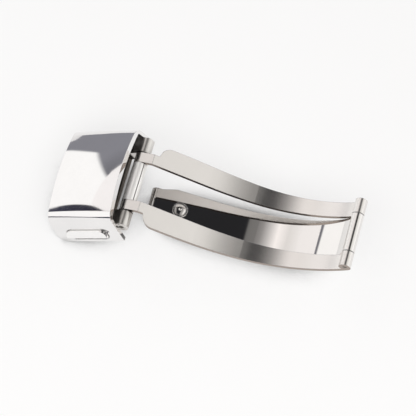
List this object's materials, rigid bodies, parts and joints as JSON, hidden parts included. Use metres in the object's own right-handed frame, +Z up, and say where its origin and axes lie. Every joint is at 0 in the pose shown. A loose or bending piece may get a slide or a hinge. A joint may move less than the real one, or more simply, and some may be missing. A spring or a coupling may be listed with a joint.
{
  "type": "deployant clasp",
  "caption": "Folding watch-strap clasp: domed box with side release pushers, two curved arms and an inner blade with a latch stud, shown open.",
  "frame": {"origin": "on the surface it lies on, under the middle of its length and width", "axes": "+X along the blades, away from the box; +Y along the hinge pins; +Z up, wrist side up"},
  "size_m": [0.0604, 0.0232, 0.015],
  "materials": {
    "polished": "mirror polished stainless steel",
    "satin": "fine satin stainless steel",
    "bright": "polished stainless steel",
    "pins": "turned stainless steel",
    "springs": "spring steel wire",
    "sliders": "ground stainless steel"
  },
  "bodies": {
    "frame": {"arm_near": "satin", "arm_far": "satin", "hinge_spacer": "bright", "box_hinge_pin": "pins", "blade_hinge_pin": "pins"},
    "blade": {"inner_blade": "bright", "latch_stud": "bright", "stud_collar": "bright"},
    "box": {"box_cover": "polished", "box_chassis": "bright", "latch_retainer": "satin", "retainer_screws": "pins", "strap_bar_tube": "pins", "latch_spring_front": "springs", "latch_spring_rear": "springs", "strap_bar_spring": "springs"},
    "near_release": {"slider_near": "sliders", "pusher_near": "polished"},
    "far_release": {"slider_far": "sliders", "pusher_far": "polished"},
    "near_bar_tip": {"bar_tip_near": "pins"},
    "far_bar_tip": {"bar_tip_far": "pins"}
  },
  "joints": [
    {"name": "box_swing", "type": "hinge", "parent": "frame", "child": "box", "pos_m": [-0.01465, 0, 0.01033], "axis": [0, -1, 0], "range_deg": [-50, 55]},
    {"name": "blade_fold", "type": "hinge", "parent": "frame", "child": "blade", "pos_m": [0.02902, 0, 0.01292], "axis": [0, 1, 0], "range_deg": [-15, 168]},
    {"name": "near_push", "type": "slide", "parent": "box", "child": "near_release", "axis": [0, 1, 0], "range_m": [0, 0.0007], "stiffness_N_per_m": 1500, "springref_m": -0.001},
    {"name": "far_push", "type": "slide", "parent": "box", "child": "far_release", "axis": [0, -1, 0], "range_m": [0, 0.0007], "stiffness_N_per_m": 1500, "springref_m": -0.001},
    {"name": "near_tip_slide", "type": "slide", "parent": "box", "child": "near_bar_tip", "axis": [0, 1, 0], "range_m": [0, 0.0005], "stiffness_N_per_m": 1500, "springref_m": -0.001},
    {"name": "far_tip_slide", "type": "slide", "parent": "box", "child": "far_bar_tip", "axis": [0, -1, 0], "range_m": [0, 0.0005], "stiffness_N_per_m": 1500, "springref_m": -0.001}
  ]
}
